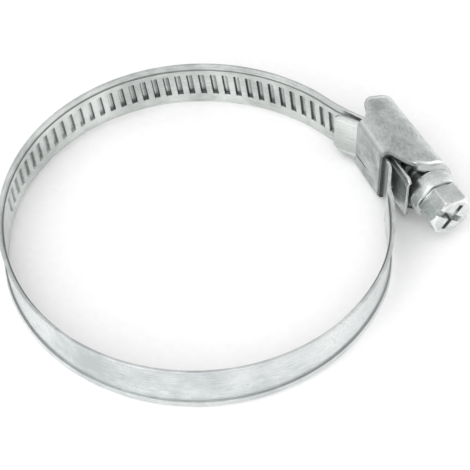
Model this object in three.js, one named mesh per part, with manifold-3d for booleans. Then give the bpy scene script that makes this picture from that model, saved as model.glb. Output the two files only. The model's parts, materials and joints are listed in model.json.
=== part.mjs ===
// Worm-drive hose clamp with a pressed-thread band: one housing, one screw and
// one steel band. The ring axis is Z. The housing sits on +X, the screw's head
// points towards -Y, and the band is modelled as short rigid lengths joined at
// pivots that stand in for its bending.
import * as THREE from 'three';
import { mergeVertices } from 'three/addons/utils/BufferGeometryUtils.js';
import Module from 'manifold-3d';

const wasm = await Module();
wasm.setup();

// ---- driving sizes, millimetres and degrees --------------------------------

const INNER_RADIUS = 31.15; // inside of the ring, on the hose
const BAND_WIDTH = 9;
const BAND_SHEET = 0.6;
const RIM_WIDTH = 1; // each long edge is flared outwards over this width
const RIM_RISE = 0.45;

const SLOT_PITCH = 2.07; // pressed thread of the band, and lead of the worm
const SLOT_LENGTH = 4.7;
const SLOT_WIDTH = 0.9;
const SLOT_TAPER = 0.2; // a rib narrows by this much on each flank
const RIB_HEIGHT = 0.6;
const POCKET_DEPTH = 0.4;
const SLOT_SLANT = 7;

const BAND_LENGTHS = 5; // rigid lengths round the ring
const ENTRY_ANGLE = 25; // ring angle where the band leaves its circle
const EXIT_ANGLE = 14.6; // and about where it joins it, on the near side
const SLOTTED_TO = 149.5; // the ring is smooth from here to the near exit
const TIP_SMOOTH = 2.9; // unslotted tip of the free end

const HOUSING_SHEET = 0.75;
const HOUSING_SIDE_GAP = 0.3; // each side of the band
const PLATE_NEAR = -4.8; // ends of the inner plate along Y
const PLATE_FAR = 4.2;
const HUMP_NEAR = -8.8; // ends of the hump over the worm
const HUMP_FAR = 9.6;
const HUMP_RADIUS = 4.5;
const WALL_HEIGHT = 3.4; // side walls stand square up to here
const SEAM_LENGTH = 4;
const SEAM_WIDTH = 0.2;
const LIP_LENGTH = 0.7; // lip curled in round the screw's neck

const STRIP_GAP = 0.1; // plate to fixed end
const RUNNING_GAP = 0.4; // fixed end to sliding band
const SCREW_TILT = 3; // head end away from the ring
const WORM_ROOT_RADIUS = 2.4;
const WORM_RADIUS = 3.05;
const WORM_FAR = 8;
const WORM_NEAR = -6.8;
const THREAD_ROOT_WIDTH = 0.95;
const THREAD_TIP_WIDTH = 0.55;
const THREAD_CLEARANCE = 0.15; // rib top to worm root, at the far end
const COLLAR_RADIUS = 4.15;
const COLLAR_LENGTH = 3;
const COLLAR_GAP = 0.4; // lip to collar
const HEX_FLATS = 7;
const HEX_LENGTH = 4.4;
const HEX_CHAMFER = 0.6;
const HEAD_TURN = 40; // where the head stopped when the clamp was set
const RECESS_DEPTH = 1.8;
const SLOT_SPAN = 5.6; // screwdriver slot across the head
const SLOT_CUT = 1.1;
const CROSS_SPAN = 4.4;

const TONGUE_LENGTH = 3.4; // end of the band beyond the plate
const TONGUE_BEND = 34;
const TONGUE_PAST_PLATE = 0.3; // corner of its bend, beyond the plate's far edge
const EXIT_REACH = 0.4; // straight stretch past the plate before the near bend
const TAIL_BEND_Y = -3.6; // the free end droops from here
const TAIL_DROOP = 4;
const TAIL_LENGTH = 6.2; // drooping stretch
const ELBOW_PAST_PLATE = 1.7;
const BEND_RADIUS = 2;
const JOINT_GAP = 0.3; // between neighbouring lengths of band

// ---- sizes that follow -----------------------------------------------------

const rad = THREE.MathUtils.degToRad;
const meanRadius = INNER_RADIUS + BAND_SHEET / 2;
const pitchAngle = SLOT_PITCH / meanRadius;
const entryAngle = rad(ENTRY_ANGLE);
const ringAngle = 2 * Math.PI - entryAngle - rad(EXIT_ANGLE);
const lengthPitches = Math.round(ringAngle / BAND_LENGTHS / pitchAngle);
const lengthAngle = lengthPitches * pitchAngle;
const ringSlots = Math.floor((rad(SLOTTED_TO) - entryAngle) / pitchAngle);
const exitAngle = entryAngle + BAND_LENGTHS * lengthAngle;
const midZ = BAND_WIDTH / 2;

const plateX = INNER_RADIUS + HOUSING_SHEET;
const stripX = plateX + STRIP_GAP + BAND_SHEET / 2;
const tailX = stripX + BAND_SHEET + RUNNING_GAP;
const ribTopX = tailX + BAND_SHEET / 2 + RIB_HEIGHT;
const tilt = rad(SCREW_TILT);
const wormRise = (WORM_ROOT_RADIUS + THREAD_CLEARANCE) / Math.cos(tilt);
const axisX = ribTopX + wormRise + PLATE_FAR * Math.tan(tilt);
const neckRadius = WORM_ROOT_RADIUS;
const humpInner = HUMP_RADIUS - HOUSING_SHEET;
const housingHalf = BAND_WIDTH / 2 + HOUSING_SIDE_GAP + HOUSING_SHEET;
const tall = 60; // taller than any piece, for cutting prisms

// ---- solids ----------------------------------------------------------------

function solid(geometry) {
  geometry.deleteAttribute('normal');
  geometry.deleteAttribute('uv');
  const merged = mergeVertices(geometry, 1e-5);
  return new wasm.Manifold(new wasm.Mesh({
    numProp: 3,
    vertProperties: new Float32Array(merged.attributes.position.array),
    triVerts: new Uint32Array(merged.index.array),
  }));
}

function meshOf(name, body, look) {
  const data = body.getMesh();
  const geometry = new THREE.BufferGeometry();
  geometry.setAttribute('position', new THREE.BufferAttribute(data.vertProperties, 3));
  geometry.setIndex(new THREE.BufferAttribute(data.triVerts, 1));
  geometry.computeVertexNormals();
  const mesh = new THREE.Mesh(geometry, new THREE.MeshStandardMaterial(look));
  mesh.name = name;
  return mesh;
}

// A prism standing on the XY plane, from a plan outline of [x, y] points.
function planPrism(points, low, high) {
  const outline = new THREE.Shape(points.map(([x, y]) => new THREE.Vector2(x, y)));
  const geometry = new THREE.ExtrudeGeometry(outline, { depth: high - low, bevelEnabled: false });
  return solid(geometry.translate(0, 0, low));
}

function placed(geometry, matrix) {
  return solid(geometry.applyMatrix4(matrix));
}

// ---- the band --------------------------------------------------------------

// A plan curve of straight stretches and arcs. It starts at a point with a
// heading, and each step goes straight for a length or turns about a radius.
class PlanRoute extends THREE.Curve {
  constructor(start, heading, steps) {
    super();
    this.parts = [];
    this.total = 0;
    let point = start.clone();
    let angle = heading;
    for (const step of steps) {
      const turn = step.turn ?? 0;
      const length = turn ? Math.abs(turn) * step.radius : step.straight;
      this.parts.push({ point, angle, turn, length, begin: this.total });
      const end = PlanRoute.along(this.parts.at(-1), length);
      point = end.point;
      angle = end.angle;
      this.total += length;
    }
  }

  static along(part, distance) {
    const direction = new THREE.Vector3(Math.cos(part.angle), Math.sin(part.angle), 0);
    if (!part.turn) {
      return { point: part.point.clone().addScaledVector(direction, distance), angle: part.angle };
    }
    const radius = part.length / part.turn; // negative where the route turns right
    const side = new THREE.Vector3(-direction.y, direction.x, 0);
    const turned = distance / radius;
    const point = part.point.clone()
      .addScaledVector(direction, radius * Math.sin(turned))
      .addScaledVector(side, radius * (1 - Math.cos(turned)));
    return { point, angle: part.angle + turned };
  }

  at(distance) {
    const inside = Math.min(Math.max(distance, 0), this.total);
    const part = this.parts.findLast((each) => each.begin <= inside) ?? this.parts[0];
    return PlanRoute.along(part, inside - part.begin);
  }

  getPoint(share) {
    return this.at(share * this.total).point;
  }

  getPointAt(share) {
    return this.getPoint(share);
  }

  getTangent(share) {
    const { angle } = this.at(share * this.total);
    return new THREE.Vector3(Math.cos(angle), Math.sin(angle), 0);
  }

  getTangentAt(share) {
    return this.getTangent(share);
  }

  getSpacedPoints(count) {
    return Array.from({ length: count + 1 }, (_, index) => this.getPoint(index / count));
  }
}

// The band's cross-section. Its first coordinate runs down the width and its
// second runs towards the ring axis, as the sweep along a route needs.
function bandSection(rise) {
  const half = BAND_SHEET / 2;
  const edge = midZ;
  const inner = midZ - RIM_WIDTH;
  const points = [
    [-edge, half - rise], [-inner, half], [inner, half], [edge, half - rise],
    [edge, -half - rise], [inner, -half], [-inner, -half], [-edge, -half - rise],
  ];
  return new THREE.Shape(points.map(([x, y]) => new THREE.Vector2(x, y)));
}

function strip(route, step, rise = RIM_RISE) {
  const steps = Math.max(1, Math.ceil(route.total / step));
  const geometry = new THREE.ExtrudeGeometry(bandSection(rise), { steps, extrudePath: route });
  return solid(geometry.translate(0, 0, midZ));
}

// A tapered bar along the band's width, slanted like the worm's thread.
function slotBar(height, base) {
  const half = SLOT_WIDTH / 2;
  const outline = new THREE.Shape();
  outline.moveTo(-half, base);
  outline.lineTo(half, base);
  outline.lineTo(half - SLOT_TAPER, base + height);
  outline.lineTo(-half + SLOT_TAPER, base + height);
  const bar = new THREE.ExtrudeGeometry(outline, { depth: SLOT_LENGTH, bevelEnabled: false });
  bar.translate(0, 0, -SLOT_LENGTH / 2);
  return bar.rotateY(-rad(SLOT_SLANT));
}

// Presses slots into a strip: a pocket in its inner face and a rib outside.
function withSlots(body, route, distances) {
  let result = body;
  for (const distance of distances) {
    const { point, angle } = route.at(distance);
    const along = new THREE.Vector3(Math.cos(angle), Math.sin(angle), 0);
    const outward = new THREE.Vector3(along.y, -along.x, 0);
    const up = new THREE.Vector3().crossVectors(along, outward);
    const frame = new THREE.Matrix4().makeBasis(along, outward, up);
    frame.setPosition(point.x, point.y, midZ);
    const half = BAND_SHEET / 2;
    const overlap = 0.1;
    const rib = placed(slotBar(RIB_HEIGHT + overlap, half - overlap), frame);
    const pocket = placed(slotBar(POCKET_DEPTH + overlap, -half - overlap), frame);
    result = result.add(rib).subtract(pocket);
  }
  return result;
}

function ringPoint(angle) {
  return new THREE.Vector3(meanRadius * Math.cos(angle), meanRadius * Math.sin(angle), 0);
}

// One length of the ring, counted from the near exit (1) to the entry.
function ringLength(number) {
  const start = exitAngle - number * lengthAngle;
  const gap = JOINT_GAP / 2 / meanRadius;
  const arc = { turn: lengthAngle - 2 * gap, radius: meanRadius };
  const route = new PlanRoute(ringPoint(start + gap), start + gap + Math.PI / 2, [arc]);
  const before = (BAND_LENGTHS - number) * lengthPitches;
  const count = Math.max(0, Math.min(lengthPitches, ringSlots - before));
  const places = Array.from({ length: count }, (_, slot) => (slot + 0.5) * SLOT_PITCH - JOINT_GAP / 2);
  return withSlots(strip(route, SLOT_PITCH), route, places);
}

// The free end runs from the entry, over the plate's end, straight under the
// worm, and droops to its tip. The route is walked from the tip to the entry.
const elbowY = PLATE_FAR + ELBOW_PAST_PLATE;
const entry = ringPoint(entryAngle);
const runAngle = Math.atan2(tailX - entry.x, entry.y - elbowY);
const bendSpan = BEND_RADIUS * Math.tan(runAngle / 2);
const runLength = Math.hypot(tailX - entry.x, entry.y - elbowY) - bendSpan;
const droop = rad(TAIL_DROOP);

function freeEndRoute() {
  const tip = new THREE.Vector3(
    tailX - TAIL_LENGTH * Math.sin(droop),
    TAIL_BEND_Y - TAIL_LENGTH * Math.cos(droop),
    0,
  );
  return new PlanRoute(tip, Math.PI / 2 - droop, [
    { straight: TAIL_LENGTH - BEND_RADIUS * Math.tan(droop / 2) },
    { turn: droop, radius: BEND_RADIUS },
    { straight: elbowY - TAIL_BEND_Y - BEND_RADIUS * Math.tan(droop / 2) - bendSpan },
    { turn: runAngle, radius: BEND_RADIUS },
    { straight: runLength - JOINT_GAP / 2 },
  ]);
}

function freeEndSlots(route) {
  const last = route.total + JOINT_GAP / 2 - SLOT_PITCH / 2;
  const count = Math.floor((last - TIP_SMOOTH) / SLOT_PITCH) + 1;
  return Array.from({ length: count }, (_, slot) => last - slot * SLOT_PITCH);
}

function freeEnd() {
  const route = freeEndRoute();
  return withSlots(strip(route, SLOT_PITCH / 4), route, freeEndSlots(route));
}

// The fixed end: a tongue past the plate's far end, a flat strip on the plate
// and a sharp bend inwards at the near end, where the ring begins.
function fixedEnd() {
  const tongueBend = rad(TONGUE_BEND);
  const exit = ringPoint(exitAngle);
  const bendY = PLATE_NEAR - EXIT_REACH;
  const leave = Math.atan2(stripX - exit.x, bendY - exit.y);
  const nearSpan = BEND_RADIUS * Math.tan(leave / 2);
  const farSpan = BEND_RADIUS * Math.tan(tongueBend / 2);
  const reach = Math.hypot(stripX - exit.x, bendY - exit.y) - nearSpan - JOINT_GAP / 2;
  const away = new THREE.Vector3(Math.sin(leave), Math.cos(leave), 0);
  const start = exit.clone().addScaledVector(away, JOINT_GAP / 2);
  const route = new PlanRoute(start, Math.PI / 2 - leave, [
    { straight: reach },
    { turn: leave, radius: BEND_RADIUS },
    { straight: PLATE_FAR + TONGUE_PAST_PLATE - bendY - nearSpan - farSpan },
    { turn: tongueBend, radius: BEND_RADIUS },
    { straight: TONGUE_LENGTH },
  ]);
  return strip(route, SLOT_PITCH / 4, 0);
}

// ---- the housing -----------------------------------------------------------

// Places a shape drawn round the screw: local Y runs along its axis.
const screwFrame = new THREE.Matrix4().makeRotationZ(tilt).setPosition(axisX, 0, midZ);

// Cross-section of the housing: square side walls that lean in to the hump.
function humpPrism(radius, half, near, far) {
  const foot = INNER_RADIUS - axisX;
  const shoulder = foot + WALL_HEIGHT;
  const reach = Math.hypot(shoulder, half);
  const touch = Math.atan2(half, shoulder) - Math.acos(radius / reach);
  const outline = new THREE.Shape();
  outline.moveTo(foot - HUMP_RADIUS, -half);
  outline.lineTo(shoulder, -half);
  outline.lineTo(radius * Math.cos(touch), -radius * Math.sin(touch));
  outline.absarc(0, 0, radius, -touch, touch, false);
  outline.lineTo(shoulder, half);
  outline.lineTo(foot - HUMP_RADIUS, half);
  const prism = new THREE.ExtrudeGeometry(outline, {
    depth: far - near, bevelEnabled: false, curveSegments: 20,
  });
  prism.rotateX(Math.PI / 2).translate(0, far, 0);
  return placed(prism, screwFrame);
}

function housing() {
  const near = HUMP_NEAR;
  const far = HUMP_FAR;
  const outside = axisX + HUMP_RADIUS + 2;
  const outer = humpPrism(HUMP_RADIUS, housingHalf, near - 1, far + 1);
  const inner = humpPrism(humpInner, housingHalf - HOUSING_SHEET, near - 2, far + 2);
  const above = (x) => planPrism([[x, -tall], [tall, -tall], [tall, tall], [x, tall]], -tall, tall);
  const shell = outer.intersect(above(INNER_RADIUS)).subtract(inner.intersect(above(plateX)));
  const sideTop = INNER_RADIUS + WALL_HEIGHT;
  const profile = [
    [INNER_RADIUS - 1, PLATE_NEAR], [sideTop - 1, PLATE_NEAR], [sideTop + 0.2, PLATE_NEAR - 0.8],
    [axisX - 1.2, near + 0.5], [axisX, near], [outside, near],
    [outside, far], [axisX - 1, far], [axisX - 2.2, far - 0.8],
    [sideTop - 1.2, PLATE_FAR + 0.8], [sideTop - 2, PLATE_FAR], [INNER_RADIUS - 1, PLATE_FAR],
  ];
  const sides = shell.intersect(planPrism(profile, -tall, tall));
  const seamZ = BAND_WIDTH / 4;
  const seamFar = PLATE_FAR - HOUSING_SHEET;
  const seam = planPrism([
    [INNER_RADIUS - 1, seamFar - SEAM_LENGTH], [plateX + STRIP_GAP, seamFar - SEAM_LENGTH],
    [plateX + STRIP_GAP, seamFar], [INNER_RADIUS - 1, seamFar],
  ], seamZ - SEAM_WIDTH / 2, seamZ + SEAM_WIDTH / 2);
  return sides.subtract(seam).add(lip());
}

// The near end of the hump is curled in behind the collar, round the neck.
function lip() {
  const hole = neckRadius + COLLAR_GAP;
  const middle = (humpInner + HUMP_RADIUS) / 2;
  const disc = new THREE.LatheGeometry([
    new THREE.Vector2(hole, 0), new THREE.Vector2(middle, 0),
    new THREE.Vector2(middle, LIP_LENGTH), new THREE.Vector2(hole, LIP_LENGTH),
    new THREE.Vector2(hole, 0),
  ], 40);
  disc.translate(0, HUMP_NEAR + COLLAR_GAP, 0);
  const upper = planPrism([[axisX, -tall], [tall, -tall], [tall, tall], [axisX, tall]], -tall, tall);
  return placed(disc, screwFrame).intersect(upper);
}

// ---- the screw -------------------------------------------------------------

// Where the rib nearest the middle of the worm lies along the screw's axis.
function ribOnAxis() {
  const route = freeEndRoute();
  const ribs = freeEndSlots(route).map((distance) => route.at(distance).point.y);
  const nearest = ribs.reduce((best, y) => (Math.abs(y) < Math.abs(best) ? y : best));
  return nearest * Math.cos(tilt) - (ribTopX - axisX) * Math.sin(tilt);
}

// A straight bar bent round the worm's root, a right-hand thread of one lead
// a turn, set so that the band's ribs lie midway between its crests.
function wormThread() {
  const midway = ribOnAxis() + SLOT_PITCH / 2;
  const far = midway + SLOT_PITCH * Math.floor((WORM_FAR - 1 - midway) / SLOT_PITCH);
  const turns = Math.floor((far - WORM_NEAR) / SLOT_PITCH);
  const stepsPerTurn = 20;
  const bury = 0.3;
  const bar = new THREE.BoxGeometry(1, 1, 1, 1, 1, turns * stepsPerTurn);
  const place = bar.attributes.position;
  for (let index = 0; index < place.count; index += 1) {
    const tip = place.getY(index) > 0;
    const width = tip ? THREAD_TIP_WIDTH : THREAD_ROOT_WIDTH;
    const radius = tip ? WORM_RADIUS : WORM_ROOT_RADIUS - bury;
    const turned = (place.getZ(index) + 0.5) * turns;
    const angle = Math.PI + turned * 2 * Math.PI;
    place.setXYZ(
      index,
      radius * Math.cos(angle),
      far - turned * SLOT_PITCH - place.getX(index) * width,
      radius * Math.sin(angle),
    );
  }
  return bar;
}

const collarFar = HUMP_NEAR - COLLAR_GAP;
const collarNear = collarFar - COLLAR_LENGTH;
const headEnd = collarNear - HEX_LENGTH;

function screw() {
  const shank = new THREE.LatheGeometry([
    new THREE.Vector2(0, headEnd + 1), new THREE.Vector2(COLLAR_RADIUS - 1, headEnd + 1),
    new THREE.Vector2(COLLAR_RADIUS - 1, collarNear), new THREE.Vector2(COLLAR_RADIUS, collarNear),
    new THREE.Vector2(COLLAR_RADIUS, collarFar), new THREE.Vector2(neckRadius, collarFar),
    new THREE.Vector2(WORM_ROOT_RADIUS, WORM_FAR - 0.6), new THREE.Vector2(WORM_ROOT_RADIUS - 0.6, WORM_FAR),
    new THREE.Vector2(0, WORM_FAR),
  ], 40);
  const corner = HEX_FLATS / 2 / Math.cos(Math.PI / 6);
  const hexagon = new THREE.CylinderGeometry(corner, corner, HEX_LENGTH, 6);
  hexagon.translate(0, collarNear - HEX_LENGTH / 2, 0);
  const cone = new THREE.LatheGeometry([
    new THREE.Vector2(0, headEnd), new THREE.Vector2(HEX_FLATS / 2, headEnd),
    new THREE.Vector2(HEX_FLATS / 2 + HEX_CHAMFER * 1.7, headEnd + HEX_CHAMFER),
    new THREE.Vector2(corner + 1, headEnd + HEX_LENGTH), new THREE.Vector2(0, headEnd + HEX_LENGTH),
  ], 40);
  const across = new THREE.BoxGeometry(SLOT_SPAN, RECESS_DEPTH * 2, SLOT_CUT);
  const down = new THREE.BoxGeometry(SLOT_CUT, RECESS_DEPTH * 2, CROSS_SPAN);
  const recess = solid(across).add(solid(down)).translate([0, headEnd, 0]);
  const head = solid(hexagon).intersect(solid(cone));
  const body = solid(shank).add(head).subtract(recess).rotate([0, HEAD_TURN, 0]);
  return placed(wormThread(), new THREE.Matrix4()).add(body);
}

// ---- assembly --------------------------------------------------------------

const zinc = { color: 0xc9ced0, roughness: 0.32, metalness: 1 };
const clamp = new THREE.Group();
clamp.add(meshOf('housing', housing(), { ...zinc, color: 0xb9bfc0, roughness: 0.4 }));
clamp.add(meshOf('band_fixed_end', fixedEnd(), zinc));
for (let number = 1; number <= BAND_LENGTHS; number += 1) {
  clamp.add(meshOf(`band_length_${number}`, ringLength(number), zinc));
}
clamp.add(meshOf('band_free_end', freeEnd(), zinc));
const worm = meshOf('worm_screw', screw(), { ...zinc, color: 0xc2c7c6, roughness: 0.36 });
worm.position.set(axisX, 0, midZ);
worm.rotation.z = tilt;
clamp.add(worm);

// The origin is the middle of the clamp's footprint, level with its underside.
clamp.updateMatrixWorld(true);
const box = new THREE.Box3().setFromObject(clamp, true);
const middle = box.getCenter(new THREE.Vector3());
clamp.position.set(-middle.x, -middle.y, -box.min.z);

export default clamp;
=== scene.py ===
# %% [markdown]
# # A worm-drive hose clamp, finished in Blender
#
# The clamp has three real parts: a folded sheet-steel housing, a screw with a
# hexagon head, and one long steel band. The imported model already says where each
# is and how it moves. This script makes the surfaces that are seen, puts them in
# exactly that frame, and lets the housing and the screw ride on their own bodies.

# %% Load the imported model
import json
import math

import bmesh
import bpy
import numpy as np
from mathutils import Matrix, Vector


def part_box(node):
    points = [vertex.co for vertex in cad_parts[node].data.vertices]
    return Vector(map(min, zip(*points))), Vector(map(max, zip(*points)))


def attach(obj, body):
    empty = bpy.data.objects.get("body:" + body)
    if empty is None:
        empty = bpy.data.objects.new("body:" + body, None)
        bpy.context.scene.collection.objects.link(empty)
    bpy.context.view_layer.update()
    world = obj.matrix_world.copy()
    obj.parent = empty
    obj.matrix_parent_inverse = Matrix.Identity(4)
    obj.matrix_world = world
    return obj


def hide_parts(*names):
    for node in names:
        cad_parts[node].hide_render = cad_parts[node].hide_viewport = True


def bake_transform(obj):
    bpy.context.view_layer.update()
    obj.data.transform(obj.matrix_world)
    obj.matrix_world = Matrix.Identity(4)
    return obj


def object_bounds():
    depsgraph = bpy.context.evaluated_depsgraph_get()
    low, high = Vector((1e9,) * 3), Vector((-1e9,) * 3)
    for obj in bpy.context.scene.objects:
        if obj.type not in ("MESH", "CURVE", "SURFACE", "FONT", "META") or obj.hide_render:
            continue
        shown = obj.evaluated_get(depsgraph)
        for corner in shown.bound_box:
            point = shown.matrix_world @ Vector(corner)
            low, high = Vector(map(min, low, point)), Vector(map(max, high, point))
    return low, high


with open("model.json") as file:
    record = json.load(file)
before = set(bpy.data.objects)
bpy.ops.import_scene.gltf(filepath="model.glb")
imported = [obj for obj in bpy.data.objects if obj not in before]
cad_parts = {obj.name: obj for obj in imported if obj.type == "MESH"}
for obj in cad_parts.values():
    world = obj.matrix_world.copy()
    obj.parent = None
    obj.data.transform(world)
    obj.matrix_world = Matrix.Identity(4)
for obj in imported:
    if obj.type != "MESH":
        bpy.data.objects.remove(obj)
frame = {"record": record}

MM = 0.001
cad_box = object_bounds()
joints = {joint["name"]: joint for joint in frame["record"]["behaviour"]["joints"]}

# %% [markdown]
# ## Where everything is
#
# The ring's centre isn't written down anywhere, but the band's pivots lie on its
# middle circle. Three points fix a circle, so the centre and the radius are
# worked out from three of them. The screw's place and direction are its joint's.

# %% Ring centre, radius and screw axis
def circle_through(points):
    """Centre and radius of the circle through three points on the XY plane."""
    first, second, third = (np.array(point[:2]) for point in points)
    rows = np.array([second - first, third - first]) * 2
    values = np.array([second @ second - first @ first, third @ third - first @ first])
    centre = np.linalg.solve(rows, values)
    return centre, float(np.linalg.norm(first - centre))


pivots = [joints[name]["pos_m"] for name in ("near_exit_bend", "bend_2_3", "entry_bend")]
centre_xy, ring_radius = circle_through(pivots)
band_low, band_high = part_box("band_length_2")
BAND_WIDTH = (band_high[2] - band_low[2]) / MM
RING = ring_radius / MM
ring_origin = Vector((centre_xy[0], centre_xy[1], band_low[2]))
screw_point = Vector(joints["screw_turn"]["pos_m"])
screw_axis = Vector(joints["screw_turn"]["axis"]).normalized()
AXIS = (screw_point - ring_origin) / MM
TILT = math.atan2(screw_axis.x, -screw_axis.y)
PLATE = (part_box("housing")[0][0] - ring_origin.x) / MM
print(f"ring radius {RING:.2f} mm, band {BAND_WIDTH:.2f} mm wide, screw {AXIS.x - PLATE:.2f} mm out")


# %% [markdown]
# ## Small tools
#
# Everything is drawn in millimetres from the ring's centre, with zero at the
# band's lower edge, and is turned to metres only when it is written to a mesh.

# %% Helpers for meshes
def deselect():
    if bpy.context.object and bpy.context.object.mode != "OBJECT":
        bpy.ops.object.mode_set(mode="OBJECT")
    bpy.ops.object.select_all(action="DESELECT")


def select(piece):
    deselect()
    bpy.context.view_layer.objects.active = piece
    piece.select_set(True)


def named(name):
    """Names the object that an operator has just added."""
    piece = bpy.context.object
    piece.name = name
    piece.data.name = name
    return piece


def points_of(piece):
    flat = np.empty(len(piece.data.vertices) * 3)
    piece.data.vertices.foreach_get("co", flat)
    return flat.reshape(-1, 3)


def move_points(piece, points):
    piece.data.vertices.foreach_set("co", np.asarray(points, float).ravel())
    piece.data.update()


def mark(piece, name, values):
    """Stores one number for each point, for a material to read."""
    piece.data.attributes.new(name, "FLOAT", "POINT").data.foreach_set("value", values)


def from_ring(points):
    """Millimetres from the ring's centre to metres in the frame."""
    return np.asarray(points) * MM + np.array(ring_origin)


def apply_modifier(piece, kind, **settings):
    modifier = piece.modifiers.new(kind.title(), kind)
    for key, value in settings.items():
        setattr(modifier, key, value)
    select(piece)
    bpy.ops.object.modifier_apply(modifier=modifier.name)


def grid_sheet(name, columns, rows):
    """A flat grid. Its points come back as a column number and a row number."""
    deselect()
    bpy.ops.mesh.primitive_grid_add(
        x_subdivisions=columns - 1, y_subdivisions=rows - 1, size=2, location=(0, 0, 0))
    sheet = named(name)
    flat = points_of(sheet)
    column = np.rint((flat[:, 0] + 1) / 2 * (columns - 1)).astype(int)
    row = np.rint((flat[:, 1] + 1) / 2 * (rows - 1)).astype(int)
    return sheet, column, row


def smooth_by_angle(piece, degrees):
    select(piece)
    bpy.ops.object.shade_smooth_by_angle(angle=math.radians(degrees))


def outward(piece):
    """Points every face of a closed piece outwards."""
    select(piece)
    bpy.ops.object.mode_set(mode="EDIT")
    bpy.ops.mesh.select_all(action="SELECT")
    bpy.ops.mesh.normals_make_consistent(inside=False)
    bpy.ops.object.mode_set(mode="OBJECT")


def ease(value):
    """Goes from 0 to 1 with a slow start and a slow end."""
    share = np.clip(value, 0, 1)
    return share * share * (3 - 2 * share)


def smooth_through(places, values, wanted):
    """A smooth curve through a few chosen points."""
    places, values = np.asarray(places, float), np.asarray(values, float)
    slopes = np.gradient(values, places)
    start = np.clip(np.searchsorted(places, wanted) - 1, 0, len(places) - 2)
    width = places[start + 1] - places[start]
    share = np.clip((wanted - places[start]) / width, 0, 1)
    left = values[start] + slopes[start] * width * share * (1 - share)
    right = values[start + 1] - slopes[start + 1] * width * share * (1 - share)
    blend = ease(share)
    return left * (1 - blend) + right * blend


print("helpers ready")


# %% [markdown]
# ## Camera
#
# The clamp is seen from above and a little to the left of the screw, through a
# long lens. The camera comes first, so that every later render can be compared.

# %% Camera
AZIMUTH = math.radians(-22)
ELEVATION = math.radians(51.45)
ROLL = math.radians(-1.23)
DISTANCE = 269.6  # from the ring's centre
AIM = (5.9, 0.98, 0)  # the point looked at, to the right of the centre and beyond it
LENS = 125.3


def add_camera():
    turned_left = Matrix.Rotation(AZIMUTH, 4, "Z")
    away = turned_left @ Vector((0, -math.cos(ELEVATION), math.sin(ELEVATION)))
    place = ring_origin + away * DISTANCE * MM
    target = ring_origin + turned_left @ Vector(AIM) * MM
    data = bpy.data.cameras.new("camera")
    data.lens = LENS
    data.sensor_width = 36
    camera = bpy.data.objects.new("camera", data)
    bpy.context.scene.collection.objects.link(camera)
    aim = (target - place).to_track_quat("-Z", "Y").to_matrix().to_4x4()
    camera.matrix_world = Matrix.Translation(place) @ aim @ Matrix.Rotation(ROLL, 4, "Z")
    bpy.context.scene.camera = camera
    return camera


camera = add_camera()
print("camera at", [round(value, 3) for value in camera.location])


# %% [markdown]
# ## A recipe for zinc-plated steel
#
# All three parts are mild steel with a thin bright zinc coat. Zinc on steel is a
# metal with no colour of its own, only slightly blue-grey, and it isn't polished:
# the strip keeps fine lines from rolling, the housing keeps marks from the press,
# and the screw has a grainy, tumbled skin. So there is one zinc recipe, with
# a different grain for each part. Two numbers stored on the points of a mesh
# change it from place to place: one is painted shade in creases and pockets,
# which darkens it, and the other is a painted highlight on ridges, folds and
# edges, which lightens it.

# %% Colours and node helper
def linear(hex_colour):
    """sRGB hex to the linear numbers that a shader takes."""
    parts = [int(hex_colour[index:index + 2], 16) / 255 for index in (0, 2, 4)]
    straight = [part / 12.92 if part <= 0.04045 else ((part + 0.055) / 1.055) ** 2.4 for part in parts]
    return (*straight, 1)


def add_node(tree, kind, settings=None, links=None, **sockets):
    """Adds one node, with its own settings, its socket values and its links."""
    node = tree.nodes.new(kind)
    for key, value in (settings or {}).items():
        setattr(node, key, value)
    for key, value in sockets.items():
        node.inputs[key.replace("_", " ")].default_value = value
    for key, source in (links or {}).items():
        tree.links.new(source, node.inputs[key])
    return node


def between(tree, value, low, high, to_low=0.0, to_high=1.0):
    """Stretches the part of a value from low to high over the given range."""
    node = add_node(tree, "ShaderNodeMapRange", links={"Value": value})
    for name, number in zip(("From Min", "From Max", "To Min", "To Max"), (low, high, to_low, to_high)):
        node.inputs[name].default_value = number
    return node.outputs["Result"]


def blended(tree, share, first, second):
    """Mixes two colours. Either may be a hex text or another node's output."""
    node = add_node(tree, "ShaderNodeMix", {"data_type": "RGBA"}, {0: share})
    for index, colour in ((6, first), (7, second)):
        if isinstance(colour, str):
            node.inputs[index].default_value = linear(colour)
        else:
            tree.links.new(colour, node.inputs[index])
    return node.outputs[2]


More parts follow.
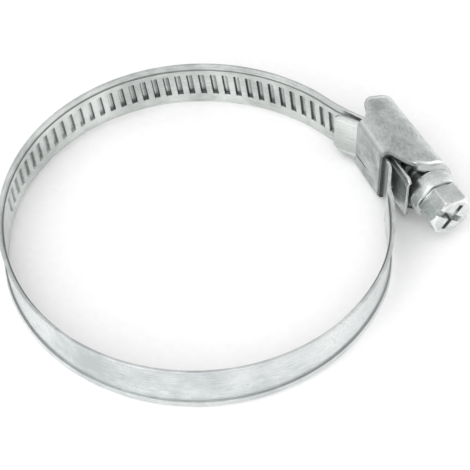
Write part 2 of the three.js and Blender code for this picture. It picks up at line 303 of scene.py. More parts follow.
def zinc(name, tones, grain, grain_mm, roughness, bump, blotch_mm, smudge=0.0):
    """Plated steel. tones are its dark and light colours and the colour that dirt and
    painted shade darken it to, grain is how the fine noise is stretched along X, Y
    and Z, roughness is its least and most, and smudge is how strongly specks of
    dirt show. The sizes are in millimetres."""
    material = bpy.data.materials.new(name)
    material.use_nodes = True
    tree = material.node_tree
    shader = tree.nodes["Principled BSDF"]
    shader.inputs["Metallic"].default_value = 1.0
    place = add_node(tree, "ShaderNodeTexCoord").outputs["Object"]
    stretched = add_node(tree, "ShaderNodeMapping", links={"Vector": place}, Scale=grain)
    fine = add_node(
        tree, "ShaderNodeTexNoise", links={"Vector": stretched.outputs["Vector"]},
        Scale=1 / (grain_mm * MM), Detail=4.0, Roughness=0.6).outputs["Fac"]
    wide = add_node(
        tree, "ShaderNodeTexNoise", links={"Vector": place},
        Scale=1 / (blotch_mm * MM), Detail=5.0, Roughness=0.62).outputs["Fac"]
    speck = add_node(
        tree, "ShaderNodeTexNoise", links={"Vector": place},
        Scale=1 / (0.45 * MM), Detail=3.0, Roughness=0.75).outputs["Fac"]
    mixed = add_node(tree, "ShaderNodeMath", {"operation": "MULTIPLY_ADD"}, {0: fine, 2: wide})
    mixed.inputs[1].default_value = 0.6
    tone = between(tree, mixed.outputs[0], 0.62, 0.96)
    soiled = add_node(
        tree, "ShaderNodeMath", {"operation": "MULTIPLY"},
        {0: between(tree, wide, 0.56, 0.68, 0, smudge), 1: between(tree, speck, 0.5, 0.72)}).outputs[0]
    # Painted shade stored on the points. The larger of it and the real specks of dirt darkens the colour
    # towards the third tone and makes it rougher.
    painted_shade = add_node(tree, "ShaderNodeAttribute", {"attribute_name": "painted_shade"}).outputs["Fac"]
    dirt_and_shade = add_node(
        tree, "ShaderNodeMath", {"operation": "MAXIMUM"},
        {0: soiled, 1: between(tree, painted_shade, 0.1, 1.0, 0, 0.95)}).outputs[0]
    # A painted highlight stored on the points lightens the colour towards near-white.
    painted_highlight = add_node(tree, "ShaderNodeAttribute", {"attribute_name": "painted_highlight"}).outputs["Fac"]
    bright = blended(tree, painted_highlight, blended(tree, tone, tones[0], tones[1]), "F4F5F5")
    colour = blended(tree, dirt_and_shade, bright, tones[2])
    tree.links.new(colour, shader.inputs["Base Color"])
    rough = add_node(
        tree, "ShaderNodeMath", {"operation": "MULTIPLY_ADD"},
        {0: dirt_and_shade, 2: between(tree, mixed.outputs[0], 0.6, 1.0, roughness[1], roughness[0])})
    rough.inputs[1].default_value = 0.2
    tree.links.new(rough.outputs[0], shader.inputs["Roughness"])
    relief = add_node(tree, "ShaderNodeBump", links={"Height": fine}, Strength=bump, Distance=0.05 * MM)
    tree.links.new(relief.outputs["Normal"], shader.inputs["Normal"])
    print("material", name)
    return material


# %% [markdown]
# ## The six finishes
#
# Rolling lines run along the strip, so its noise changes quickly up its width.
# The inside of the ring has a darker, rougher copy of the strip's finish. The
# pressed sheet is blotchy, its sheared edges are dark and coarse, and the screw's
# corners and chamfers have a lighter copy of its finish, a painted highlight.

# %% The finishes
strip_zinc = zinc(
    "zinc_plated_rolled_strip", ("B9BDBE", "E6E9E9", "6E7372"),
    (0.05, 0.05, 1), 0.12, (0.2, 0.34), 0.25, blotch_mm=11.0, smudge=0.6)
strip_inside_zinc = zinc(
    "zinc_plated_strip_inside", ("B0B4B2", "E0E3E1", "4E5352"),
    (0.05, 0.05, 1), 0.12, (0.26, 0.4), 0.3, blotch_mm=11.0)
pressed_zinc = zinc(
    "zinc_plated_pressed_sheet", ("A6ABAA", "DCE0DF", "747978"),
    (1, 0.3, 1), 0.24, (0.26, 0.42), 0.6, blotch_mm=4.0, smudge=0.4)
sheared_zinc = zinc(
    "zinc_plated_sheared_edge", ("7F8483", "A9AEAD", "5A5F5E"),
    (1, 1, 1), 0.25, (0.35, 0.5), 0.5, blotch_mm=3.0, smudge=0.3)
tumbled_zinc = zinc(
    "zinc_plated_tumbled_screw", ("C6CAC9", "E6E9E8", "747978"),
    (1, 1, 1), 0.35, (0.22, 0.36), 0.35, blotch_mm=1.3, smudge=0.5)
# A lighter, glossier copy of the screw's finish, a painted highlight for the head's corners and chamfers.
highlight_zinc = zinc(
    "zinc_plated_corner_highlight", ("E4E7E6", "F6F7F7", "9AA09E"),
    (1, 1, 1), 0.35, (0.18, 0.26), 0.2, blotch_mm=1.3)


# %% [markdown]
# ## The band's path
#
# One strip makes the whole band. It starts as a short tongue beyond the
# housing's plate, lies flat on that plate, bends in sharply where it leaves the
# housing, and springs out again to the ring. At the far side it climbs over the
# tongue, runs under the worm and ends as a short straight stub. The path is made
# of straight stretches and arcs, with two sprung stretches given by how far they
# stand off the ring at a few angles.

# %% The path as closely spaced points
SHEET = 0.5  # thickness of the strip
STRIP_X = PLATE + 0.95  # middle of the fixed end, on the plate
TAIL_X = PLATE + 1.75  # middle of the free end, under the worm
TONGUE_TOP = 8.4  # how far beyond the screw's middle the tongue starts
TONGUE_LEAN = 38  # degrees between the tongue and the plate
TIP_Y = -10.2  # where the free end stops
ELBOW_RADIUS = 2.2  # the bend over which the free end turns in under the worm
STEP = 0.05  # distance between points of the path
SOFTENING = 9  # points over which the path's corners are averaged


def walk(start, heading, steps):
    """Points along straight stretches (length, 0) and arcs (radius, degrees)."""
    points = [np.array(start, float)]
    angle = math.radians(heading)
    for size, degrees in steps:
        turn = math.radians(degrees)
        length = size if degrees == 0 else abs(turn) * size
        count = max(1, round(length / STEP))
        for _ in range(count):
            angle += turn / count / 2
            points.append(points[-1] + np.array((math.cos(angle), math.sin(angle))) * length / count)
            angle += turn / count / 2
    return np.array(points)


def off_ring(degrees, rises):
    """Points at these angles, standing off the ring by these amounts."""
    finest = np.arange(degrees[0], degrees[-1], math.copysign(0.1, degrees[-1] - degrees[0]))
    order = np.argsort(degrees)
    rise = smooth_through(np.array(degrees)[order], np.array(rises)[order], finest)
    angle = np.radians(finest)
    return np.stack([np.cos(angle), np.sin(angle)], 1) * (RING + rise)[:, None]


def band_path():
    """The middle of the strip seen from above, from the tongue to the free end. The
    lists give ring angles, and how far the strip stands off the ring there."""
    tongue = walk((0, TONGUE_TOP), TONGUE_LEAN - 90, [(4.3, 0), (1.6, -TONGUE_LEAN)])
    tongue[:, 0] += STRIP_X - tongue[-1, 0]
    flat_end = 8.4  # degrees below the screw's middle at which the strip leaves the plate
    strip = np.array([[STRIP_X, tongue[-1, 1]], [STRIP_X, -STRIP_X * math.tan(math.radians(flat_end))]])
    lift = [STRIP_X / math.cos(math.radians(angle)) - RING for angle in (flat_end - 1, flat_end)]
    near = off_ring(
        [1 - flat_end, -flat_end, -10.4, -12.5, -14.5, -17, -20, -24, -29, -36, -44, -50],
        [lift[0], lift[1], 0.92, 0.52, 0.15, -0.25, -0.48, -0.56, -0.48, -0.24, -0.03, 0])
    near = near[near[:, 1] < strip[-1, 1]]
    ring = off_ring([-50, -330], [0, 0])
    far = off_ring([30, 26, 21.5, 17.5, 13.6, 10.6], [0, 0, -0.05, 0.16, 0.7, 1.28])
    foot = far[-1]
    steepness = math.degrees(math.atan2(foot[1] - far[-3, 1], foot[0] - far[-3, 0]))
    drop = ELBOW_RADIUS * math.tan(math.radians(-90 - steepness) / 2)
    reach = (TAIL_X - foot[0]) / math.cos(math.radians(steepness)) + drop
    elbow = [(max(reach, STEP), 0), (ELBOW_RADIUS, -90 - steepness)]
    stub = walk(foot, steepness, elbow)[-1, 1] - TIP_Y
    tail = walk(foot, steepness, elbow + [(stub, 0)])
    whole = np.concatenate([tongue, strip[1:], near, ring, far, tail[1:]])
    gaps = np.linalg.norm(np.diff(whole, axis=0), axis=1)
    return whole[np.concatenate([[True], gaps > 1e-4])]


path = band_path()
distance = np.concatenate([[0], np.cumsum(np.linalg.norm(np.diff(path, axis=0), axis=1))])
even = np.arange(0, distance[-1], STEP)
path = np.stack([np.interp(even, distance, path[:, axis]) for axis in (0, 1)], 1)
kernel = np.ones(SOFTENING) / SOFTENING
softened = np.stack([np.convolve(path[:, axis], kernel, "valid") for axis in (0, 1)], 1)
path[SOFTENING // 2:-(SOFTENING // 2)] = softened
direction = np.gradient(path, axis=0)
direction /= np.linalg.norm(direction, axis=1)[:, None]
PATH_LENGTH = even[-1]
print(f"band {PATH_LENGTH:.0f} mm long, tip at {path[-1].round(2)}")


def path_place(degrees):
    """Distance along the band to a ring angle, away from the band's two ends."""
    angle = np.degrees(np.arctan2(path[:, 1], path[:, 0]))
    away_from_ends = (even > 20) & (even < PATH_LENGTH - 20)
    off = np.where(away_from_ends, np.abs((angle - degrees + 180) % 360 - 180), np.inf)
    return even[int(np.argmin(off))]


# %% [markdown]
# ## Making a stretch of band
#
# A stretch starts as a flat grid, as long as the stretch and as wide as the band.
# Solidify makes it a sheet and Bevel breaks its sheared edges. Then the pressed
# slots are pushed outwards, the two long edges are flared, and last the flat
# strip is wrapped along the path. Working flat first keeps the sheet's thickness
# even. An array and a curve modifier would also do it, but they can't slant the
# grid with the slots, and a slanted grid is what keeps the slots' edges crisp.

# %% Sizes of the pressed thread and the flared edges
PITCH = 2.07
SLANT = math.tan(math.radians(7))
SLOT_MIDDLE = 4.75  # a little above the band's middle
POCKET_HALF = (0.52, 2.38)  # half width and half length at the inner face
RIB_HALF = (0.60, 2.5)  # the same at the outer face
PRESS = 0.5  # how far a rib stands out
POCKET_DEPTH = 0.52
FLANK = 0.17  # width of a pocket's sloping side
BROKEN_EDGE = 0.06
TONGUE_HIGHLIGHT = 5.0  # how much of the tongue has a painted highlight along its edges
# How far the long edges flare out, by distance from the edge.
RIM = ([0, 0.74, 0.82, 0.9, 0.98], [0.44, 0.3, 0.24, 0.03, 0])
# Where columns of points lie on each side of a slot's middle.
SLOT_COLUMNS = [-0.95, -0.75, -0.62, -0.57, -0.52, -0.47, -0.42, -0.36, -0.3, -0.15,
                0, 0.15, 0.3, 0.36, 0.42, 0.47, 0.52, 0.57, 0.62, 0.75]
PLAIN_COLUMN = 0.6  # distance between columns where there are no slots
DARKEST_POCKET_ANGLE = 72  # ring angle, in degrees, where the painted shade in the pockets is darkest


def width_rows():
    """Heights across the band, close together where the shape changes."""
    half = [0, 0.12, 0.3, 0.5, 0.66, 0.74, 0.82, 0.9, 0.98, 1.25, 1.6, 1.9]
    slot_end = list(np.arange(2.08, 2.95, 0.08))
    lower = half + slot_end + [3.2, 3.6, 4.1]
    upper = [BAND_WIDTH - value for value in half] + list(BAND_WIDTH - np.arange(1.9, 2.6, 0.08))
    return np.array(sorted(set(np.round(lower + [4.6, 5.1, 5.6, 6.1] + upper, 3))))


def from_slot(along, up, slots):
    """Distance along the band from the middle of the nearest slanted slot."""
    slanted = along - (SLOT_MIDDLE - up) * SLANT
    return slanted - slots[np.argmin(np.abs(slanted[:, None] - slots[None, :]), axis=1)]


def press(along, up, half, slots):
    """How far each point is pressed, from 0 outside a slot to 1 on its floor."""
    across = ease((half[0] - np.abs(from_slot(along, up, slots))) / FLANK)
    ends = ease((half[1] - np.abs(up - SLOT_MIDDLE)) / (FLANK * 1.8))
    return across * ends


def painted_pocket_shade(along, up, floor, slots):
    """Painted shade in a pocket: thick in its corners and lower end, with a lighter
    streak that is a painted highlight. It is darkest on the far side of the ring."""
    streak = np.exp(-((from_slot(along, up, slots) + 0.14) / 0.1) ** 2)
    deep_end = ease((SLOT_MIDDLE - 0.9 - up) / 1.2)
    x, y = (np.interp(along, even, path[:, axis]) for axis in (0, 1))
    angle = np.degrees(np.arctan2(y, x))
    spread = np.where(angle > DARKEST_POCKET_ANGLE, 34, 60)
    share = 0.2 + 0.8 * np.exp(-((angle - DARKEST_POCKET_ANGLE) / spread) ** 2)
    corners = floor * (1 - floor) * 3.6
    return share * (corners + floor * (0.62 - 0.62 * streak * (1 - deep_end) + 0.4 * deep_end))


def stretch_columns(start, end, slots):
    """Places along a stretch where its grid has a column of points."""
    marks = [start, end]
    if len(slots):
        marks += [slot + offset for slot in slots for offset in SLOT_COLUMNS]
        marks += list(np.arange(start, slots[0] - 1.1, PLAIN_COLUMN))
        marks += list(np.arange(slots[-1] + 1.0, end, PLAIN_COLUMN))
    else:
        marks += list(np.arange(start, end, PLAIN_COLUMN))
    marks = np.array(sorted(mark for mark in marks if start <= mark <= end))
    return marks[np.concatenate([[True], np.diff(marks) > 0.03])]


def break_edges(sheet, width, kept_sharp):
    """Rounds the sheared edges, but not those that kept_sharp says yes to."""
    mesh = bmesh.new()
    mesh.from_mesh(sheet.data)
    weight = mesh.edges.layers.float.new("bevel_weight_edge")
    for edge in mesh.edges:
        if edge.calc_face_angle(0) > math.radians(60) and not kept_sharp(edge):
            edge[weight] = 1
    mesh.to_mesh(sheet.data)
    mesh.free()
    apply_modifier(sheet, "BEVEL", width=width, segments=2, limit_method="WEIGHT")


def inside_faces(sheet):
    """Gives the strip's two faces their own finish, while the strip is still flat."""
    for finish in (strip_zinc, strip_inside_zinc):
        sheet.data.materials.append(finish)
    for face in sheet.data.polygons:
        face.material_index = int(face.center.z < -SHEET / 2 + 0.01)


def slanted_with_slots(along, up, start, end, slots):
    """Leans the columns of a grid like its slots, but not at the stretch's two ends."""
    fade = ease((along - start) / 1.0) * ease((end - along) / 1.0)
    inside = ease((along - slots[0] + 2) / 1.0) * ease((slots[-1] + 2 - along) / 1.0)
    return along + (SLOT_MIDDLE - up) * SLANT * fade * inside


def cut_corners(along, up, place, low_cut, high_cut):
    """Cuts the two corners off the band's end, which lies at the given place."""
    from_end = np.abs(along - place)
    low = np.maximum(0, low_cut - from_end)
    high = np.maximum(0, high_cut - from_end)
    return low + up / BAND_WIDTH * (BAND_WIDTH - low - high)


def wrap(sheet, along, up, out):
    """Wraps a flat strip along the path. The path runs clockwise seen from above,
    so outwards is to its left."""
    x, y = (np.interp(along, even, path[:, axis]) for axis in (0, 1))
    dx, dy = (np.interp(along, even, direction[:, axis]) for axis in (0, 1))
    move_points(sheet, from_ring(np.stack([x - dy * out, y + dx * out, up], 1)))


def band_stretch(name, start, end, slots, rim_start, corners):
    """One stretch of band, from start to end along the path. Its edges are flared
    from rim_start on, or all along it if that is None."""
    slots = np.array([slot for slot in slots if start + 0.3 < slot < end - 0.3])
    columns = stretch_columns(start, end, slots)
    rows = width_rows()
    sheet, column, row = grid_sheet(name, len(columns), len(rows))
    along, up = columns[column], rows[row]
    if len(slots):
        along = slanted_with_slots(along, up, start, end, slots)
    if corners:
        up = cut_corners(along, up, *corners)
    move_points(sheet, np.stack([along, up, np.zeros_like(up)], 1))
    apply_modifier(sheet, "SOLIDIFY", thickness=SHEET, offset=0)
    seams_here = [place for place in (start, end) if 0 < place < PATH_LENGTH]

    def at_seam(edge):
        return any(all(abs(point.co.x - seam) < 1e-3 for point in edge.verts) for seam in seams_here)

    break_edges(sheet, BROKEN_EDGE, at_seam)
    inside_faces(sheet)
    along, up, out = points_of(sheet).T
    painted_shade = np.zeros_like(out)
    if len(slots):
        inner = out < 0
        pocket, rib = (press(along, up, half, slots) for half in (POCKET_HALF, RIB_HALF))
        pressed = np.where(inner, pocket, rib)
        out = out + pressed * np.where(inner, POCKET_DEPTH, PRESS)
        # Painted shade in the pockets, with a painted highlight along a streak.
        painted_shade = painted_pocket_shade(along, up, np.where(inner, pocket, 0), slots)
    edge = np.minimum(up, BAND_WIDTH - up)
    rimmed = 1 if rim_start is None else ease((along - rim_start) / 3)
    out = out + np.interp(edge, *RIM) * rimmed
    # Painted shade along the crease where the flared rim steps out.
    crease_shade = np.interp(edge, [0.78, 0.82, 0.9, 0.97], [0, 0.8, 0.8, 0]) * rimmed
    painted_shade = np.maximum(painted_shade, crease_shade)
    # On the tongue, a painted highlight along the band's edges.
    if rim_start is not None:
        tongue_edge_highlight = 0.8 * np.exp(-((edge - 0.9) / 0.12) ** 2) * ease((TONGUE_HIGHLIGHT - along) / 0.5)
        mark(sheet, "painted_highlight", tongue_edge_highlight)
    mark(sheet, "painted_shade", painted_shade)
    wrap(sheet, along, up, out)
    outward(sheet)
    smooth_by_angle(sheet, 32)
    print(f"{name}: {end - start:.1f} mm, {len(slots)} slots, {len(sheet.data.polygons)} faces")
    return sheet


# %% [markdown]
# ## Six stretches, five seams
#
# The band is made as six stretches, because a mesh can follow only two bodies.
# The seams between stretches lie at the middle of a rigid length, where both
# neighbours move alike, and are nudged to lie midway between two slots.

# %% Cut the stretches and hide the pieces they replace
bend_names = ["near_exit_bend", "bend_1_2", "bend_2_3", "bend_3_4", "bend_4_5", "entry_bend"]


def ring_angle(joint_name):
    """Degrees round the ring to a joint's pivot, from 0 to 360."""
    place = (Vector(joints[joint_name]["pos_m"]) - ring_origin) / MM
    return math.degrees(math.atan2(place.y, place.x)) % 360


bends = [ring_angle(name) for name in bend_names]
if bends[-1] > bends[-2]:
    bends[-1] -= 360  # the angles fall along the band
RING_SLOTS, TAIL_SLOTS = 33, 12
PLAIN_TIP = 3.4  # length of the free end without slots
RIM_ANGLE = -12  # ring angle near which the flared edges begin
first_slot = path_place(bends[-1]) - PITCH / 2
ring_slots = [first_slot - index * PITCH for index in range(RING_SLOTS)]
tail_slots = [first_slot + (index + 1) * PITCH for index in range(TAIL_SLOTS)]
slots = sorted(ring_slots + [slot for slot in tail_slots if slot < PATH_LENGTH - PLAIN_TIP])
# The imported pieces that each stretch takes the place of.
hidden = [["band_fixed_end"]] + [[f"band_length_{number}"] for number in range(1, 5)]
hidden.append(["band_length_5", "band_free_end"])


def nudged_off_slots(seam):
    """Moves a seam to midway between its two nearest slots."""
    gaps = [slot + PITCH / 2 for slot in slots]
    nearest = min(gaps, key=lambda gap: abs(gap - seam))
    return nearest if abs(nearest - seam) < PITCH else seam


middles = [path_place((before + after) / 2) for before, after in zip(bends, bends[1:])]
seams = [0.0] + [nudged_off_slots(middle) for middle in middles] + [PATH_LENGTH]
print(len(slots), "slots, seams at", [round(float(seam), 1) for seam in seams])


def make_band():
    last = len(bends) - 1
    tongue_corners = (0, 1.7, 0.6)
    tip_corners = (PATH_LENGTH, 0.5, 0.5)
    for index, (start, end) in enumerate(zip(seams, seams[1:])):
        corners = {0: tongue_corners, last: tip_corners}.get(index)
        rim_start = path_place(RIM_ANGLE) - 1 if index == 0 else None
        piece = band_stretch(f"band_stretch_{index + 1}", start, end, slots, rim_start, corners)
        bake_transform(piece)
        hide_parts(*hidden[index])


make_band()


# %% [markdown]
# ## The housing
#
# The housing is one sheet, wrapped once round: it starts at a seam on the flat
# inner plate, turns up one side, rolls over the worm and comes back down to the
# seam. So it is modelled as what it is, one grid wrapped round a cross-section,
# whose two ends follow the cut outline of the blank. Solidify gives the sheet
# its thickness, half to each side of the grid, and Bevel breaks the sheared edges.

# %% The cross-section, as seen along the screw
HOUSING_SHEET = 0.75
HALF = (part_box("housing")[1][2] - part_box("housing")[0][2] - HOUSING_SHEET * MM) / MM / 2
HUMP = 4.5 - HOUSING_SHEET / 2  # radius of the roll over the worm
FOOT = PLATE + HOUSING_SHEET / 2 - AXIS.x  # the plate
SHOULDER = FOOT + 3.1  # where a straight side turns in towards the hump
SHOULDER_BEND = 2.6
CORNER = 0.6
SEAM_Z = -2.3  # the plate's seam, from the band's middle


def section_points():
    """Middle of the sheet, from the seam along the plate, round the worm and back.
    The sloping sides touch the roll over the worm, which sets how far they lean."""
    reach = math.hypot(SHOULDER, HALF)
    touch = math.degrees(math.atan2(HALF, SHOULDER) - math.acos(HUMP / reach))
    lean = 90 - touch
    cut = SHOULDER_BEND * math.tan(math.radians(lean / 2))
    wall = SHOULDER - FOOT - CORNER - cut
    slope = math.sqrt(reach ** 2 - HUMP ** 2) - cut
    half_plate = HALF - CORNER
    return walk((FOOT, SEAM_Z), -90, [
        (half_plate + SEAM_Z, 0), (CORNER, 90), (wall, 0), (SHOULDER_BEND, lean), (slope, 0),
        (HUMP, 180 - 2 * lean),
        (slope, 0), (SHOULDER_BEND, lean), (wall, 0), (CORNER, 90), (half_plate - SEAM_Z, 0)])


outline = section_points()
section = np.concatenate([outline[:-3:5], outline[-1:]])  # every fifth point, and the last
print("section spans", section.min(0).round(2), "to", section.max(0).round(2))

# %% [markdown]
# ## The blank's two cut edges
#
# Each edge is given as places along the screw for a few heights, and a height is
# measured outwards from the screw's axis. The hump reaches further than the
# plate at both ends, and its near end is pinched in and curled out again, to hold
# the screw's collar. Painted shade darkens the creases, and painted highlights
# brighten the ridges and folds.

# %% Cut edges, lip and seam, and the housing itself
NEAR_EDGE = ([-5.9, -4.9, -4.5, -3.9, -3.3, -2.7, -2.1, -1.0, 4.6],
             [-4.0, -3.9, -4.0, -4.6, -6.0, -7.4, -8.3, -8.8, -8.8])
FAR_EDGE = ([-5.9, -4.9, -3.9, -3.2, -2.6, -2.0, -1.2, 0.4, 4.6],
            [4.3, 4.6, 5.2, 6.0, 7.3, 8.3, 8.9, 9.1, 9.1])
# How the hump is pinched in and curled out again, by distance from its near edge.
LIP = ([0, 0.12, 0.55, 0.7, 0.82, 1.1, 1.22, 1.5], [0.16, 0.1, -0.6, -0.68, -0.55, 0.1, 0.16, 0])
# Distances from a cut edge at which a grid line runs.
EDGE_LINES = np.array([
    0, 0.12, 0.25, 0.4, 0.55, 0.7, 0.82, 0.95, 1.1, 1.22, 1.35, 1.45, 1.55, 1.65, 1.8, 2.2, 2.8])
BLANK_LENGTH = 18
# The plate's seam is a hairline, and opens into a slit towards the far end.
HAIRLINE = 0.005
SLIT = 0.14
SLIT_START = 0.3
BROKEN_HOUSING_EDGE = 0.1


def bump_at(distance, place, width):
    """A rounded bump, one high, in a value that changes with distance."""
    return np.exp(-((distance - place) / width) ** 2)


def housing_finish(height, up, from_near, over_worm):
    """Where painted highlights brighten the housing, and where painted shade darkens it."""
    from_fold = np.abs(np.abs(up) - HALF + 0.12) + np.abs(height - FOOT - 0.35)
    # Painted highlights along the folds, and on the lip's two ridges over the worm.
    folds = 0.6 * bump_at(from_fold, 0, 0.35) * ease((from_near - 0.3) / 0.8)
    ridges = bump_at(from_near, 1.24, 0.09) + bump_at(from_near, 0.08, 0.1)
    painted_highlight = folds + over_worm * ease((height + 2.2) / 0.5) * ridges
    # Painted shade in the lip's grooves, along the near cut edge below the hump, and on the plate.
    grooves = over_worm * (bump_at(from_near, 0.67, 0.2) + 0.75 * bump_at(from_near, 1.55, 0.1))
    cut_edge = ease((-1.6 - height) / 0.8) * ease((0.62 - from_near) / 0.3)
    plate = 0.4 * ease((FOOT + 0.6 - height) / 0.4)
    return painted_highlight, np.maximum(np.maximum(grooves, cut_edge), plate)


def make_housing():
    lines = EDGE_LINES / BLANK_LENGTH
    marks = np.concatenate([lines, np.linspace(0.19, 0.81, 14), 1 - lines[::-1]])
    marks = np.array(sorted(set(np.round(marks, 4))))
    piece, column, row = grid_sheet("housing_shell", len(section), len(marks))
    height, up = section[column].T
    near = smooth_through(*NEAR_EDGE, height)
    far = smooth_through(*FAR_EDGE, height)
    along = near + (far - near) * marks[row]
    normal = np.gradient(section, axis=0)
    normal /= np.linalg.norm(normal, axis=1)[:, None]
    outwards = np.stack([normal[:, 1], -normal[:, 0]], 1)[column]
    over_worm = ease((height + 2.4) / 0.9)
    from_near, from_far = along - near, far - along
    neck = np.interp(from_near, *LIP)
    flare = 0.12 * ease((0.7 - from_far) / 0.7)
    curl = -0.16 * ease((0.45 - from_near) / 0.45) * (1 - over_worm)
    shift = over_worm * (neck + flare) + curl
    painted_highlight, painted_shade = housing_finish(height, up, from_near, over_worm)
    mark(piece, "painted_highlight", painted_highlight)
    mark(piece, "painted_shade", painted_shade)
    height, up = height + outwards[:, 0] * shift, up + outwards[:, 1] * shift
    slit = HAIRLINE + SLIT * ease((along - SLIT_START) / 0.6)
    first, last = column == 0, column == len(section) - 1
    up = up - slit * first + slit * last
    tilt = math.tan(TILT) * ease((height - FOOT - 0.5) / 3.5)
    x = AXIS.x + height - tilt * (along - AXIS.y)
    move_points(piece, np.stack([x, along, up + BAND_WIDTH / 2], 1))
    for finish in (pressed_zinc, sheared_zinc):
        piece.data.materials.append(finish)
    apply_modifier(
        piece, "SOLIDIFY", thickness=HOUSING_SHEET, offset=0, use_even_offset=True, material_offset_rim=1)
    seam_height = BAND_WIDTH / 2 + SEAM_Z

    def in_closed_seam(edge):
        return all(
            point.co.x < AXIS.x + FOOT + 0.5 and abs(point.co.z - seam_height) < 0.1
            and point.co.y < SLIT_START + 0.3 for point in edge.verts)

    break_edges(piece, BROKEN_HOUSING_EDGE, in_closed_seam)
    move_points(piece, from_ring(points_of(piece)))
    outward(piece)
    smooth_by_angle(piece, 28)
    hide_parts("housing")
    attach(piece, "housing")
    print(f"housing: {len(piece.data.polygons)} faces")


make_housing()


# %% [markdown]
# ## The screw
#
# The screw is turned and rolled from one bar: a worm, a thin neck, a round
# collar and a hexagon head. A turned shape can be made by the Screw modifier,
# but here a circle is extruded ring by ring, the way a lathe cuts it, because
# the worm's rings then take the thread directly.

# %% A lathe made of extrudes
ROUND = 64  # points round a turned shape


def turned(name, rings):
    """Rings are (height along Z, radius), from the bottom to the top."""
    deselect()
    bpy.ops.mesh.primitive_circle_add(
        vertices=ROUND, radius=rings[0][1], fill_type="NGON", location=(0, 0, rings[0][0]))
    piece = named(name)
    bpy.ops.object.transform_apply(location=True, rotation=False, scale=False)
    bpy.ops.object.mode_set(mode="EDIT")
    bpy.ops.mesh.select_all(action="SELECT")
    for (low, small), (high, large) in zip(rings, rings[1:]):
        bpy.ops.mesh.extrude_region_move(TRANSFORM_OT_translate={"value": (0, 0, high - low)})
        ratio = large / small
        bpy.ops.transform.resize(value=(ratio, ratio, 1), center_override=(0, 0, high))
    bpy.ops.object.mode_set(mode="OBJECT")
    outward(piece)
    return piece


def boolean(piece, other, operation):
    apply_modifier(piece, "BOOLEAN", object=other, operation=operation, solver="EXACT")
    bpy.data.objects.remove(other, do_unlink=True)


print("lathe ready")

# %% [markdown]
# ## Worm, neck, collar and head
#
# The worm is turned plain, and then a formula raises its thread, with the same
# pitch as the band's slots. The head is a bevelled six-sided cylinder. Boolean
# trims its corners to a cone, as a lathe does, and cuts two crossed recesses,
# one of them off centre. The screw is made upright along Z, with its head at the
# top, and is laid along its joint's axis at the end.

# %% The screw
WORM_ROOT, WORM_CREST = 2.35, 2.9  # radii
NECK = 2.2  # radius
WORM_END, WORM_START = -8.0, 6.8  # measured along the screw, as all places below
COLLAR = (9.2, 12.2, 4.1)  # start, end and radius
HEAD_END = 16.5
HEX_FLATS = 7.0
HEX_CORNER = 50  # degrees round the screw to one corner of its head
# How dark the painted shade on the worm and neck is.
WORM_SHADE = 0.9


def worm_rings():
    marks = np.arange(WORM_END + 0.25, WORM_START - 0.2, 0.12)
    body = [(mark, WORM_ROOT) for mark in marks]
    start, end, radius = COLLAR
    return [(WORM_END, WORM_ROOT - 0.25)] + body + [
        (WORM_START, WORM_ROOT - 0.1), (WORM_START + 0.1, NECK), (start - 0.12, NECK),
        (start - 0.06, 2.3), (start, radius - 0.18), (start + 0.05, radius - 0.05),
        (start + 0.18, radius), (end - 0.28, radius), (end - 0.12, radius - 0.05),
        (end - 0.03, radius - 0.17), (end, radius - 0.3), (end + 0.01, 3.3), (end + 0.5, 3.2)]


def cut_thread(piece):
    """Raises a right-handed thread on the worm's rings."""
    x, y, along = points_of(piece).T
    turn = np.arctan2(y, x) / (2 * math.pi)
    phase = np.abs((along / PITCH - turn + 0.5) % 1 - 0.5) * PITCH
    crest = ease((0.72 - phase) / 0.42)
    ends = ease((along - WORM_END - 0.25) / 0.9) * ease((WORM_START - 0.3 - along) / 0.9)
    radius = np.hypot(x, y)
    on_worm = (along < WORM_START - 0.1) & (radius > WORM_ROOT - 0.05)
    ratio = np.where(on_worm, 1 + (WORM_CREST / WORM_ROOT - 1) * crest * ends, 1)
    move_points(piece, np.stack([x * ratio, y * ratio, along], 1))


def slot_cutter(name, length, width, depth, degrees, shift=0):
    """A cutter for one recess: a block that narrows downwards. It is turned by some
    degrees, and shifted along its length if the recess is off centre."""
    deselect()
    slide = Matrix.Rotation(math.radians(degrees), 3, "Z") @ Vector((shift, 0, 0))
    bpy.ops.mesh.primitive_cube_add(size=1, location=(slide.x, slide.y, HEAD_END - depth / 2 + 0.5))
    cutter = named(name)
    cutter.scale = (length, width, depth + 1)
    cutter.rotation_euler.z = math.radians(degrees)
    bpy.ops.object.transform_apply(location=True, rotation=True, scale=True)
    points = points_of(cutter)
    low = points[:, 2] < HEAD_END - depth / 2
    points[low, :2] *= 0.8
    move_points(cutter, points)
    return cutter


def make_head():
    deselect()
    start = COLLAR[1] + 0.16
    bpy.ops.mesh.primitive_cylinder_add(
        vertices=6, radius=HEX_FLATS / 2 / math.cos(math.pi / 6), depth=HEAD_END - start,
        location=(0, 0, (HEAD_END + start) / 2), rotation=(0, 0, math.radians(HEX_CORNER - 90)))
    head = named("head")
    bpy.ops.object.transform_apply(location=True, rotation=True, scale=True)
    apply_modifier(
        head, "BEVEL", width=0.2, segments=2, limit_method="ANGLE", angle_limit=math.radians(30))
    trim = turned("chamfer", [
        (start - 1, 4.2), (HEAD_END - 0.8, 4.2), (HEAD_END - 0.35, 3.85), (HEAD_END - 0.06, 3.4),
        (HEAD_END, 3.25), (HEAD_END + 0.02, 3.1)])
    boolean(head, trim, "INTERSECT")
    boolean(head, slot_cutter("driver_slot", 6.4, 1.25, 1.4, -42, -0.75), "DIFFERENCE")
    boolean(head, slot_cutter("cross_slot", 5.6, 1.05, 1.9, 52), "DIFFERENCE")
    return head


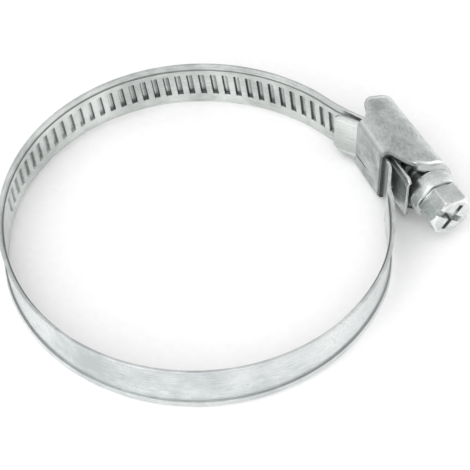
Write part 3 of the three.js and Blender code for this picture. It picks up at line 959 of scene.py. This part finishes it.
def paint_edge_highlights(piece):
    """Gives the head's corners and chamfers a lighter, glossier copy of the finish, a painted highlight.
    """
    for finish in (tumbled_zinc, highlight_zinc):
        piece.data.materials.append(finish)
    for face in piece.data.polygons:
        if face.center.z < COLLAR[1] + 0.2 or math.hypot(*face.center[:2]) < 3.0:
            continue
        turn = math.degrees(math.atan2(face.normal.y, face.normal.x)) - HEX_CORNER - 30
        off_flat = abs((turn + 30) % 60 - 30)
        on_edge = off_flat > 6 if abs(face.normal.z) < 0.05 else abs(face.normal.z) < 0.97
        face.material_index = int(on_edge)


def make_screw():
    piece = turned("hex_screw", worm_rings())
    cut_thread(piece)
    boolean(piece, make_head(), "UNION")
    paint_edge_highlights(piece)
    # Painted shade darkens the worm and the neck, which lie in shadow inside the housing.
    mark(piece, "painted_shade", ease((COLLAR[0] - 0.1 - points_of(piece)[:, 2]) / 0.4) * WORM_SHADE)
    outwards = Vector((math.cos(TILT), math.sin(TILT), 0))
    turn = Matrix((outwards, (0, 0, 1), (math.sin(TILT), -math.cos(TILT), 0))).transposed()
    points = points_of(piece) @ np.array(turn).T + np.array((AXIS.x, AXIS.y, BAND_WIDTH / 2))
    move_points(piece, from_ring(points))
    outward(piece)
    smooth_by_angle(piece, 26)
    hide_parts("worm_screw")
    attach(piece, "screw")
    print(f"screw: {len(piece.data.polygons)} faces")


make_screw()


# %% [markdown]
# ## Floor
#
# A loose clamp rests on the housing's side and on the far edge of its ring, so
# the floor leans by about a degree under it. It is matt white, and it gives the
# even brightness from below.

# %% Floor
FLOOR_GAP = 0.05  # a hair of air under the clamp
HOUSING_REST = 28  # the two places the clamp rests on, along X from the ring's centre
RING_REST = -32


def add_floor():
    deselect()
    bpy.ops.mesh.primitive_plane_add(size=3)
    floor = named("studio_floor")
    rise = cad_box[0][2] + band_low[2]
    lean = math.atan2(rise, (HOUSING_REST - RING_REST) * MM)
    points = points_of(floor)
    rest = ring_origin.x + HOUSING_REST * MM
    points[:, 2] = (rest - points[:, 0]) * math.tan(lean) - FLOOR_GAP * MM
    move_points(floor, points)
    material = bpy.data.materials.new("white_studio_paper")
    material.use_nodes = True
    tree = material.node_tree
    shader = tree.nodes["Principled BSDF"]
    shader.inputs["Roughness"].default_value = 0.9
    place = add_node(tree, "ShaderNodeTexCoord").outputs["Object"]
    fibre = add_node(tree, "ShaderNodeTexNoise", links={"Vector": place}, Scale=900.0, Detail=3.0)
    tint = blended(tree, fibre.outputs["Fac"], "F3F3F2", "FAFAFA")
    tree.links.new(tint, shader.inputs["Base Color"])
    floor.data.materials.append(material)
    print(f"floor leans {math.degrees(lean):.2f} degrees")


add_floor()


# %% [markdown]
# ## Lights and surroundings
#
# Bright metal is seen by what it mirrors. A white room would leave it flat, so
# three soft lights stand in a grey sky that is lighter above and below.

# %% Lights and sky
def add_softbox(name, place, size, watts):
    """A square light, in metres, that faces the clamp."""
    data = bpy.data.lights.new(name, "AREA")
    data.shape = "RECTANGLE"
    data.size = data.size_y = size
    data.energy = watts
    light = bpy.data.objects.new(name, data)
    light.location = place
    light.rotation_euler = (-light.location).to_track_quat("-Z", "Y").to_euler()
    bpy.context.scene.collection.objects.link(light)
    print(name, f"{watts} W")


add_softbox("overhead_softbox", (-0.32, -0.26, 0.5), 0.9, 3.2)
add_softbox("left_softbox", (-0.6, -0.3, 0.22), 0.5, 1.1)
add_softbox("right_softbox", (0.6, 0.05, 0.24), 0.4, 0.5)


def add_sky():
    world = bpy.data.worlds.new("studio")
    bpy.context.scene.world = world
    world.use_nodes = True
    tree = world.node_tree
    place = add_node(tree, "ShaderNodeTexCoord").outputs["Generated"]
    parts = add_node(tree, "ShaderNodeSeparateXYZ", links={"Vector": place})
    ramp = add_node(tree, "ShaderNodeValToRGB", links={"Fac": parts.outputs["Z"]})
    stops = ramp.color_ramp.elements
    middle = stops.new(0.35)
    for stop, grey in zip((stops[0], middle, stops[-1]), (0.95, 0.62, 0.92)):
        stop.color = (grey, grey, grey, 1)
    background = tree.nodes["Background"]
    background.inputs["Strength"].default_value = 1.0
    tree.links.new(ramp.outputs["Color"], background.inputs["Color"])


add_sky()
bpy.context.scene.view_settings.view_transform = "Standard"
